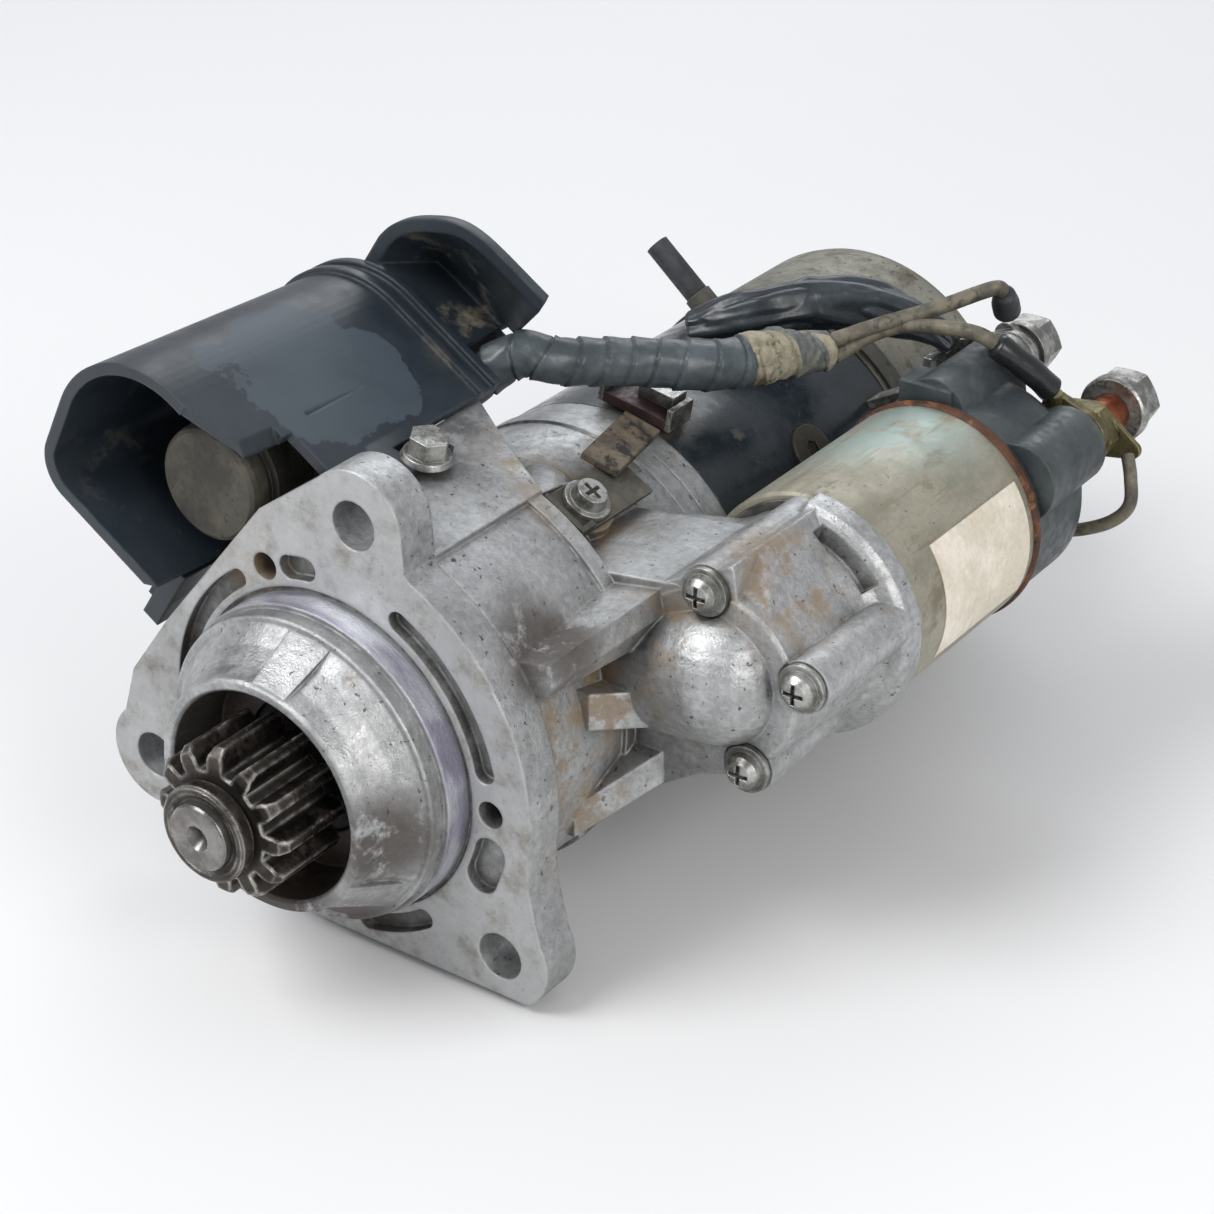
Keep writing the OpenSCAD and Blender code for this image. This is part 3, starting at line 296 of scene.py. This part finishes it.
def casting_parts(k, colour, shine, finish, normal):
    """Tan stains where muck gathers, dark oily patches that are partly painted shade on the underside, the
    turned pilot, the machined face and the oily throat.
    """
    y = k.axes()[1]
    r = k.radius()
    # tan stains, then dark oily patches that are oil and, low down, painted shade of the underside
    for places, tint, low, top, shift in ((TAN_PLACES, "7f6b4f", 0.44, 0.75, 12.0),
                                          (OIL_AND_SHADE_PLACES, "3c322c", 0.36, 0.85, 14.0)):
        near = 0.0
        for centre, reach in places:
            near = k.math("MAXIMUM", near, k.spot(centre, reach))
        patch = k.step(k.noise(75, 9, 0.72, shift=shift), low, low + 0.13)
        patch = k.math("MULTIPLY", k.math("MULTIPLY", patch, near), top)
        colour = k.mix(patch, colour, srgb(tint))
        finish = k.lerp(patch, finish, 0.72)
        shine = k.lerp(patch, shine, 0.2)
    ring = k.math("MULTIPLY", k.between(r, 0.0450, 0.0466, 0.0002), k.between(y, -0.0080, 0.0006, 0.0002))
    grooves = k.noise(60, 2, 0.5, (1, 40, 1))
    bright = k.mix(k.step(k.noise(30, 4, 0.6, (1, 3, 1), 8.0), 0.42, 0.62), srgb("d9dbe3"), srgb("a5a2b4"))
    colour = k.mix(ring, colour, bright)
    finish = k.lerp(ring, finish, k.step(grooves, 0.3, 0.7, 0.22, 0.4))
    shine = k.lerp(ring, shine, 0.7)
    face = k.between(y, -0.0004, 0.0003, 0.0001)
    smear = k.mix(k.step(k.noise(70, 8, 0.7, shift=6.1), 0.46, 0.70), srgb("b7b8b8"), srgb("857e72"))
    colour = k.mix(k.math("MULTIPLY", face, 0.7), colour, smear)
    throat = k.math("MULTIPLY", k.step(r, 0.0301, 0.0309, 1.0, 0.0), k.step(y, -0.0293, -0.0285, 0.0, 1.0))
    oil = k.mix(k.step(k.noise(90, 7, 0.7), 0.4, 0.65), srgb("4a3d33"), srgb("241f1b"))
    colour = k.mix(k.math("MULTIPLY", throat, 0.92), colour, oil)
    finish = k.lerp(throat, finish, 0.36)
    shine = k.lerp(throat, shine, 0.35)
    return colour, shine, finish, normal


def can_patches(k, colour, shine, finish, normal):
    """Bluish worn film, fine scratches along the can and a brown rim."""
    y = k.axes()[1]
    film = k.step(k.noise(38, 6, 0.62, (1, 0.7, 1), 11.3), 0.40, 0.52)
    film = k.math("MULTIPLY", k.spot((70, 160, 62), 44), film)
    colour = k.mix(k.math("MULTIPLY", film, 0.75), colour, srgb("93a7a3"))
    lines = k.step(k.noise(260, 3, 0.6, (1, 0.06, 1), 2.7), 0.60, 0.66)
    colour = k.mix(k.math("MULTIPLY", lines, 0.35), colour, srgb("6f6650"))
    rim = k.step(y, 0.170, 0.176)
    rim = k.math("MULTIPLY", rim, k.step(k.noise(110, 6, 0.7), 0.35, 0.6))
    colour = k.mix(rim, colour, srgb("6b4a33"))
    return colour, shine, finish, normal


def shield_patches(k, colour, shine, finish, normal):
    """Faded patch with a hard edge on the crown, and dusty insides."""
    ragged = k.math("MULTIPLY", k.noise(22, 6, 0.6, shift=0.4), 2.6)
    reach = k.math("ADD", k.spot((-36, 40, 88), 44), ragged)
    fade = k.step(reach, 1.90, 1.93)
    fade = k.math("MULTIPLY", fade, k.step(k.noise(70, 5, 0.6), 0.25, 0.55, 0.7, 1.0))
    colour = k.mix(k.math("MULTIPLY", fade, 0.42), colour, srgb("4d5862"))
    finish = k.lerp(fade, finish, 0.5)
    inside = k.crevice(0.035, 0.25, 0.75)
    dust = k.math("MULTIPLY", inside, k.step(k.noise(48, 8, 0.72, shift=9.2), 0.52, 0.66))
    colour = k.mix(k.math("MULTIPLY", dust, 0.75), colour, srgb("857c69"))
    finish = k.lerp(dust, finish, 0.85)
    return colour, shine, finish, normal


def sleeve_bands(k, colour, shine, finish, normal):
    """Grey tape in the middle of the dusty sleeve."""
    y = k.axes()[1]
    edge = k.math("ADD", y, k.math("MULTIPLY", k.noise(90, 4, 0.6), 0.003))
    band = k.between(edge, 0.1645, 0.1745, 0.0004)
    tape = k.mix(k.step(k.noise(120, 6, 0.7, shift=3.3), 0.45, 0.6), srgb("4b5155"), srgb("6f6f66"))
    return k.mix(k.math("MULTIPLY", band, 0.9), colour, tape), shine, k.lerp(band, finish, 0.5), normal


def ring_scratches(k, colour, shine, finish, normal):
    lathe = k.noise(900, 2, 0.5, (1, 0.02, 1))
    return colour, shine, finish, k.bump(lathe, 0.25, 0.0001, normal)


CAST = dict(metallic=0.82, rough=0.42, round_off=0.0011,
            bumps=((1500, 0.5, 0.0003), (420, 0.35, 0.0005), (120, 0.2, 0.0006)))
# the crevice colour of each look is mostly a darker tone, painted shade in corners and hollows
LOOKS = {
    "casting": dict(base="b3b4b4", alt="9b9c9c", alt_scale=48, alt_range=(0.36, 0.66), stain="6f624f",
                    stain_scale=60, stain_range=(0.60, 0.70), stain_top=0.55, specks="3a332b",
                    speck_range=(0.63, 0.70), grime_and_shade="26231f", grime_and_shade_reach=0.010, wear="d6d7d5", wear_top=0.7,
                    mottle=0.2, mottle_scale=420, hook=casting_parts, **CAST),
    "zinc_can": dict(base="9d9989", alt="868272", alt_scale=40, stain="5f523c", stain_scale=75,
                     stain_range=(0.57, 0.68), stain_top=0.55, specks="4b4232", speck_range=(0.64, 0.72),
                     metallic=0.45, rough=0.44, rough_spread=0.07,
                     bumps=((700, 0.15, 0.0001),), stretch=(1, 0.5, 1), hook=can_patches),
    "rust": dict(base="5b3a27", alt="3a2a22", alt_scale=70, stain="8b5a33", stain_scale=150, specks="1d1713",
                 metallic=0.25, rough=0.72, bumps=((700, 0.8, 0.0004),)),
    "galvanised": dict(base="a9aaa6", alt="7d7c78", alt_scale=160, alt_range=(0.42, 0.58),
                       stain="54483a", stain_scale=210, stain_range=(0.55, 0.66), stain_top=0.75,
                       grime_and_shade="241f1a", grime_and_shade_reach=0.003, wear="d8d8d4", metallic=0.9, rough=0.36,
                       bumps=((1500, 0.4, 0.00015),), round_off=0.0005),
    "dark_steel": dict(base="5c5753", alt="3d3835", alt_scale=110, stain="2b221c", stain_scale=130,
                       stain_range=(0.55, 0.68), grime_and_shade="17120f", grime_and_shade_reach=0.004, wear="b4b1ab",
                       wear_top=0.85, metallic=0.9, rough=0.38, bumps=((900, 0.35, 0.00015),),
                       round_off=0.0007),
    "pinion_steel": dict(base="4a4440", alt="332e2a", alt_scale=120, stain="2a1f18", stain_scale=150,
                         stain_range=(0.55, 0.68), grime_and_shade="120e0c", grime_and_shade_reach=0.004, wear="dedbd4",
                         wear_top=1.0, metallic=0.88, rough=0.34, bumps=((900, 0.4, 0.0002),),
                         round_off=0.0018),
    "strap": dict(base="5f5546", alt="453c32", alt_scale=120, stain="1b1a19", stain_scale=140,
                  stain_range=(0.50, 0.58), stain_top=0.95, specks="2a2520", grime_and_shade="171513", rough=0.6,
                  bumps=((900, 0.4, 0.0003),), round_off=0.0009),
    "ground_steel": dict(base="8e8d8a", alt="6c6a67", alt_scale=90, stain="3f3730", stain_scale=120,
                         stain_range=(0.60, 0.72), grime_and_shade="1c1815", grime_and_shade_reach=0.004, wear="cfcfca",
                         metallic=0.95, rough=0.27, rough_spread=0.08, bumps=((500, 0.1, 0.0001),),
                         hook=ring_scratches),
    "black_paint": dict(base="1a2126", alt="262e34", alt_scale=40, stain="5d574c", stain_scale=60,
                        stain_range=(0.60, 0.72), stain_top=0.7, grime_and_shade="3c372f", grime_and_shade_reach=0.008,
                        wear="5f6468", wear_top=0.5, rough=0.24, rough_spread=0.08,
                        bumps=((300, 0.12, 0.0003),), round_off=0.0008),
    "grey_bracket": dict(base="807f73", alt="6b695f", alt_scale=50, stain="58503f", stain_scale=80,
                         stain_range=(0.52, 0.66), specks="3a352b", speck_range=(0.58, 0.66),
                         grime_and_shade="2b2822", wear="a8a69c", metallic=0.45, rough=0.52,
                         bumps=((900, 0.5, 0.0003),)),
    "shield_plastic": dict(base="20272e", alt="262e35", alt_scale=22, stain="3b424a",
                           stain_scale=90, stain_range=(0.62, 0.74), stain_top=0.35, grime_and_shade="1a2026",
                           grime_and_shade_reach=0.006, grime_and_shade_top=0.4, wear="59646e", wear_top=0.5, rough=0.40,
                           rough_spread=0.06, mottle=0.06, bumps=((1400, 0.2, 0.00012), (60, 0.15, 0.0008)),
                           round_off=0.0012, hook=shield_patches),
    "black_plastic": dict(base="30373a", alt="3e4546", alt_scale=60, stain="59584f", stain_scale=90,
                          stain_range=(0.56, 0.70), stain_top=0.6, grime_and_shade="15171a", grime_and_shade_top=0.5,
                          wear="6a7274", wear_top=0.4, rough=0.46, bumps=((1200, 0.25, 0.00015),),
                          round_off=0.001),
    "ferrite": dict(base="2d2d30", alt="3a393b", rough=0.7),
    "phenolic": dict(base="6a4a2e", alt="54391f", alt_scale=80, rough=0.6),
    "carbon": dict(base="2a2a2b", alt="383838", alt_scale=200, rough=0.65),
    "copper": dict(base="a2603c", alt="7b4128", alt_scale=120, stain="4e3023", stain_scale=180,
                   stain_range=(0.52, 0.66), grime_and_shade="2c1c14", grime_and_shade_reach=0.003, wear="cf9468",
                   metallic=0.9, rough=0.36, bumps=((900, 0.3, 0.00012),)),
    "old_brass": dict(base="7d7452", alt="5f593f", alt_scale=110, stain="3b3727", stain_scale=150,
                      stain_range=(0.52, 0.66), wear="b5ab83", metallic=0.8, rough=0.45,
                      bumps=((900, 0.4, 0.0002),)),
    "label": dict(base="dad3c5", alt="c9c0ae", alt_scale=45, stain="9c8a6a", stain_scale=70,
                  stain_range=(0.62, 0.76), stain_top=0.6, specks="6f6552", speck_range=(0.70, 0.78),
                  rough=0.55, bumps=((400, 0.2, 0.0001),), round_off=0.0002),
    "relay_grey": dict(base="57554d", alt="45433d", alt_scale=60, stain="6f6857", stain_scale=80,
                       stain_range=(0.50, 0.68), stain_top=0.6, specks="35302a", grime_and_shade="25211c",
                       wear="98958a", metallic=0.35, rough=0.62, bumps=((900, 0.4, 0.0002),)),
    "rubber": dict(base="26282a", alt="34363a", alt_scale=90, stain="5c564a", stain_scale=140,
                   stain_range=(0.58, 0.72), stain_top=0.6, grime_and_shade="121212", rough=0.62,
                   bumps=((900, 0.3, 0.0002),)),
    "maroon": dict(base="3c2323", alt="2a1a1b", alt_scale=90, stain="5d5148", stain_scale=130,
                   stain_range=(0.56, 0.70), grime_and_shade="151011", wear="6e5550", wear_top=0.4, rough=0.5),
    "tape_black": dict(base="3c4448", alt="4b5357", alt_scale=90, stain="686860", stain_scale=150,
                       stain_range=(0.56, 0.72), stain_top=0.55, grime_and_shade="111214", grime_and_shade_reach=0.002,
                       rough=0.38, rough_spread=0.08, bumps=((700, 0.2, 0.00015), (200, 0.25, 0.0004)),
                       round_off=0.0002),
    "tape_dusty": dict(base="968f7b", alt="78725f", alt_scale=150, stain="33302b", stain_scale=190,
                       stain_range=(0.52, 0.64), stain_top=0.85, specks="a39d8a", grime_and_shade="211f1c",
                       grime_and_shade_reach=0.002, rough=0.75, bumps=((1500, 0.6, 0.0003), (300, 0.5, 0.0006)),
                       round_off=0.0002, hook=sleeve_bands),
    "wrap_black": dict(base="1d2328", alt="2a3136", alt_scale=60, stain="5a5a52", stain_scale=90,
                       stain_range=(0.60, 0.74), stain_top=0.5, grime_and_shade="0f1113", grime_and_shade_reach=0.003,
                       rough=0.34, rough_spread=0.08, bumps=((500, 0.2, 0.0002), (140, 0.25, 0.0006)),
                       round_off=0.0002),
    "rubber_gloss": dict(base="17181a", alt="202225", alt_scale=90, stain="4b473e", stain_scale=140,
                         stain_range=(0.62, 0.74), stain_top=0.5, rough=0.26, rough_spread=0.06,
                         bumps=((500, 0.15, 0.0001),)),
    "wire_dusty": dict(base="6d6656", alt="4a463d", alt_scale=120, stain="2c2925", stain_scale=170,
                       stain_range=(0.5, 0.66), rough=0.6, bumps=((900, 0.4, 0.0002),),
                       round_off=0.0002),
}
MATERIALS = {look: surface(look, **details) for look, details in LOOKS.items()}

SLOT_LOOK = {
    "cast_aluminium": "casting", "zinc_can": "zinc_can", "rusty_steel": "rust", "bright_zinc": "galvanised",
    "dark_steel": "dark_steel", "ground_steel": "ground_steel", "black_paint": "black_paint",
    "grey_bracket": "grey_bracket", "shield_plastic": "shield_plastic", "black_plastic": "black_plastic",
    "magnet_dark": "ferrite", "holder_brown": "phenolic", "carbon": "carbon", "copper": "copper",
    "old_brass": "old_brass", "label_white": "label", "relay_grey": "relay_grey", "rubber_black": "rubber",
    "maroon_plastic": "maroon", "tape_black": "tape_black", "tape_dusty": "tape_dusty",
    "wire_dark": "wire_dusty",
}
OWN_LOOK = {"pinion": "pinion_steel", "pinion_stop": "pinion_steel", "clip_loop": "strap"}
SLOT = {s["node"]: s["material_slot"] for s in frame["record"]["subparts"]}


def dress(obj, look):
    obj.data.materials.clear()
    obj.data.materials.append(MATERIALS[look])


for node_name, node_obj in NODES.items():
    dress(node_obj, OWN_LOOK.get(node_name, SLOT_LOOK[SLOT[node_name]]))


# ---------------------------------------------------------------- swept pieces

def spline(points, steps):
    """Catmull-Rom points through a route, in metres."""
    p = [Vector(q) * MM for q in points]
    out = []
    for i in range(len(p) - 1):
        a, b, c, d = p[max(i - 1, 0)], p[i], p[i + 1], p[min(i + 2, len(p) - 1)]
        for s in range(steps):
            t = s / steps
            out.append(0.5 * (2 * b + (c - a) * t + (2 * a - 5 * b + 4 * c - d) * t * t
                              + (3 * b - a - 3 * c + d) * t ** 3))
    return out + [p[-1]]


def lengths(path):
    out = [0.0]
    for a, b in zip(path, path[1:]):
        out.append(out[-1] + (b - a).length)
    return out


def frames_along(path):
    """A steady cross frame at each point of a path."""
    last = len(path) - 1
    tangents = [(path[min(i + 1, last)] - path[max(i - 1, 0)]).normalized() for i in range(len(path))]
    u = tangents[0].orthogonal().normalized()
    out = []
    for t in tangents:
        u = (u - t * u.dot(t)).normalized()
        out.append((t, u, t.cross(u)))
    return out


def tube(name, path, radius, sides=40, close=0.35):
    """A tube whose radius comes from radius(distance, angle, share), with rounded ends."""
    run = lengths(path)
    frames = frames_along(path)
    bm = bmesh.new()
    rings = []
    for i, p in enumerate(path):
        share = run[i] / run[-1]
        ring = []
        for s in range(sides):
            a = 2 * math.pi * s / sides
            r = radius(run[i], a, share)
            ring.append(bm.verts.new(p + r * (math.cos(a) * frames[i][1] + math.sin(a) * frames[i][2])))
        rings.append(ring)
    for lo, hi in zip(rings, rings[1:]):
        for s in range(sides):
            bm.faces.new((lo[s], lo[(s + 1) % sides], hi[(s + 1) % sides], hi[s]))
    ends = ((rings[0], path[0], -frames[0][0], True), (rings[-1], path[-1], frames[-1][0], False))
    for ring, p, way, flip in ends:
        size = (ring[0].co - p).length
        inner = [bm.verts.new(p + (v.co - p) * 0.8 + way * size * close * 0.6) for v in ring]
        tip = bm.verts.new(p + way * size * close)
        for s in range(sides):
            n = (s + 1) % sides
            quad = (ring[s], inner[s], inner[n], ring[n])
            wedge = (inner[s], tip, inner[n])
            bm.faces.new(quad[:1] + quad[:0:-1] if flip else quad)
            bm.faces.new(wedge[:1] + wedge[:0:-1] if flip else wedge)
    bmesh.ops.recalc_face_normals(bm, faces=bm.faces)
    mesh = bpy.data.meshes.new(name)
    bm.to_mesh(mesh)
    bm.free()
    for f in mesh.polygons:
        f.use_smooth = True
    obj = bpy.data.objects.new(name, mesh)
    bpy.context.scene.collection.objects.link(obj)
    return obj


def finish_piece(obj, look, slot, body, *nodes):
    dress(obj, look)
    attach(obj, body)
    if nodes:
        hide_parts(*nodes)
    return obj


def taped(base, growth, pitch, rise, seed, lump=0.0):
    """Radius of a wound tape: each turn overlaps the last, with a soft crease."""
    def radius(run, angle, share):
        turn = (run / pitch + angle / (2 * math.pi)) % 1.0
        lap = rise * (1 - turn) ** 1.6 - rise * 0.5 * math.exp(-((turn - 0.97) / 0.05) ** 2)
        wave = noise.noise(Vector((run * 220, math.cos(angle) * 2 + seed, math.sin(angle) * 2)))
        return base + growth * share + lap + lump * wave
    return radius


# routes in millimetres, within about 1 mm of those in the part's source
LOOM = [(-27.6, 84, 63.6), (-22.5, 91, 67), (-11.8, 100.5, 75.8), (-1.7, 107.5, 74), (11.3, 127.5, 69.8),
        (25, 140, 67.6), (31, 152.4, 66.3)]
SLEEVE = [(31.5, 153.4, 66.3), (35.5, 161, 66), (39.5, 171, 64), (43.6, 178.5, 63.2)]
WIRE_A = [(44.2, 180.6, 66), (54, 190, 70), (66, 202, 74), (74.4, 213.4, 77.2), (77.6, 217.8, 77.9),
          (78.4, 219.7, 76.6)]
WIRE_B = [(45, 180.6, 60.8), (51, 188, 66), (58, 194, 69), (66, 197, 70), (75, 198.2, 71),
          (82.6, 198.6, 71), (87, 200.3, 68.6)]
B_SLEEVE = [(87.6, 200.8, 68), (92.2, 204.4, 63.4), (96.2, 208.4, 58.6), (99.8, 212.6, 53)]
BOOT = [(78.5, 220.8, 75), (77.6, 223.5, 71.5), (76.9, 226.4, 67.6)]
LOOP = [(103, 210.6, 8), (113.7, 211.5, 11), (123, 212.6, 16), (127.5, 214.5, 22), (125.5, 218, 29),
        (122.6, 220.9, 34.4)]
WRAP = [(-6, 180, 58.5), (12, 190, 63.4), (24, 203, 64.8), (38, 210, 64.8), (50, 213, 63),
        (60, 214.4, 60.6), (65, 215.5, 57.4)]


loom_radius = taped(base=0.0061, growth=0.0010, pitch=0.0084, rise=0.0007, seed=1.0, lump=0.0004)
loom = tube("taped_loom", spline(LOOM, 44), loom_radius, 56)
finish_piece(loom, "tape_black", "tape_black", "housing", "harness_loom")


def sleeve_radius(run, angle, share):
    """A wound sleeve that tapers, with one broad fold a turn and wrinkles of two sizes."""
    base = 0.0079 - 0.0031 * share ** 1.5
    turn = (run / 0.0115 - angle / (2 * math.pi)) % 1.0
    fold = 0.0009 * (1 - turn) ** 2
    wrinkle = noise.noise(Vector((run * 420, math.cos(angle) * 2.2, math.sin(angle) * 2.2 + 4)))
    big = noise.noise(Vector((run * 110 + 3, math.cos(angle) * 1.2, math.sin(angle) * 1.2)))
    return base + fold + 0.0005 * wrinkle + 0.0006 * big


sleeve = tube("dusty_sleeve", spline(SLEEVE, 40), sleeve_radius, 64)
finish_piece(sleeve, "tape_dusty", "tape_dusty", "housing", "harness_sleeve")

# radius of the wrapped cable at even steps along its route, in millimetres
WRAP_SIZE = [4, 5.6, 6.8, 7.4, 7.8, 8, 8, 8, 7.8, 7.2, 6.4, 5.2, 4]


def wrap_radius(run, angle, share):
    """A loose wrap with long soft folds and small creases."""
    at = share * (len(WRAP_SIZE) - 1)
    i = min(int(at), len(WRAP_SIZE) - 2)
    base = (WRAP_SIZE[i] * (i + 1 - at) + WRAP_SIZE[i + 1] * (at - i)) * MM
    fold = abs(noise.noise(Vector((run * 38, math.cos(angle) * 1.3, math.sin(angle) * 1.3))))
    crease = abs(noise.noise(Vector((run * 95 + 9, math.cos(angle) * 1.8 - 5, math.sin(angle) * 1.8))))
    return base - 0.0006 + 0.0030 * fold - 0.0010 * crease


wrap = tube("crumpled_wrap", spline(WRAP, 48), wrap_radius, 72)
finish_piece(wrap, "wrap_black", "tape_black", "housing", "wrap_cable")

PLAIN_WIRE = 0.0023
LOOP_WIRE = 0.0020
WIRE_SLEEVE = 0.0040
BOOT_NECK = 0.0033
BOOT_FLARE = 0.0009

wires = [
    tube("wire_to_motor_stud", spline(WIRE_A, 24), lambda run, a, s: PLAIN_WIRE, 24),
    tube("wire_to_battery_stud", spline(WIRE_B, 24), lambda run, a, s: PLAIN_WIRE, 24),
    tube("wire_loop", spline(LOOP, 24), lambda run, a, s: LOOP_WIRE, 24),
]
for w in wires[1:]:
    finish_piece(w, "wire_dusty", "wire_dark", "housing")
finish_piece(wires[0], "wire_dusty", "wire_dark", "housing", "harness_wires")

sleeves = [
    tube("battery_wire_sleeve", spline(B_SLEEVE, 24),
         lambda run, a, s: WIRE_SLEEVE + 0.0001 * math.sin(run * 600), 28),
    tube("motor_wire_boot", spline(BOOT, 16), lambda run, a, s: BOOT_NECK + BOOT_FLARE * min(s * 2, 1), 28),
]
finish_piece(sleeves[0], "rubber_gloss", "rubber_black", "housing", "wire_sleeves")
finish_piece(sleeves[1], "rubber", "rubber_black", "housing")


# ---------------------------------------------------------------- return spring

SPRING_TURNS = 5
SPRING_WIRE = 0.0008
POINTS_IN_TURN = 36

spring_low, spring_high = (Vector(corner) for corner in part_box("return_spring"))
spring_middle = (spring_low + spring_high) / 2
coil_radius = (spring_high.x - spring_low.x) / 2 - SPRING_WIRE
spring_length = spring_high.y - spring_low.y


def spring_point(i):
    """A place along the helix, from the plunger end to the fixed end."""
    turn = 2 * math.pi * i / POINTS_IN_TURN
    share = i / (SPRING_TURNS * POINTS_IN_TURN)
    return Vector((spring_middle.x + coil_radius * math.cos(turn),
                   spring_low.y + SPRING_WIRE + (spring_length - 2 * SPRING_WIRE) * share,
                   spring_middle.z + coil_radius * math.sin(turn)))


spring = tube("return_spring_coil", [spring_point(i) for i in range(SPRING_TURNS * POINTS_IN_TURN + 1)],
              lambda run, a, s: SPRING_WIRE, 12)
finish_piece(spring, "ground_steel", "ground_steel", "housing", "return_spring")
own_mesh(spring)


# ---------------------------------------------------------------- stage

FLOOR_GAP = 0.0005
FLOOR_LIGHT = (0.73, 0.73, 0.73, 1)
FLOOR_DARK = (0.70, 0.70, 0.70, 1)

floor_level = CAD_BOX[0][2] - FLOOR_GAP
bm = bmesh.new()
bmesh.ops.create_grid(bm, x_segments=1, y_segments=1, size=6)
floor_mesh = bpy.data.meshes.new("floor")
bm.to_mesh(floor_mesh)
bm.free()
floor = bpy.data.objects.new("floor", floor_mesh)
floor.location = (0, 0, floor_level)
bpy.context.scene.collection.objects.link(floor)
floor_kit = Kit("floor_paint")
floor_kit.put(floor_kit.bsdf.inputs["Base Color"],
              floor_kit.mix(floor_kit.noise(3, 2), FLOOR_DARK, FLOOR_LIGHT))
floor_kit.bsdf.inputs["Roughness"].default_value = 0.9
floor_mesh.materials.append(floor_kit.material)
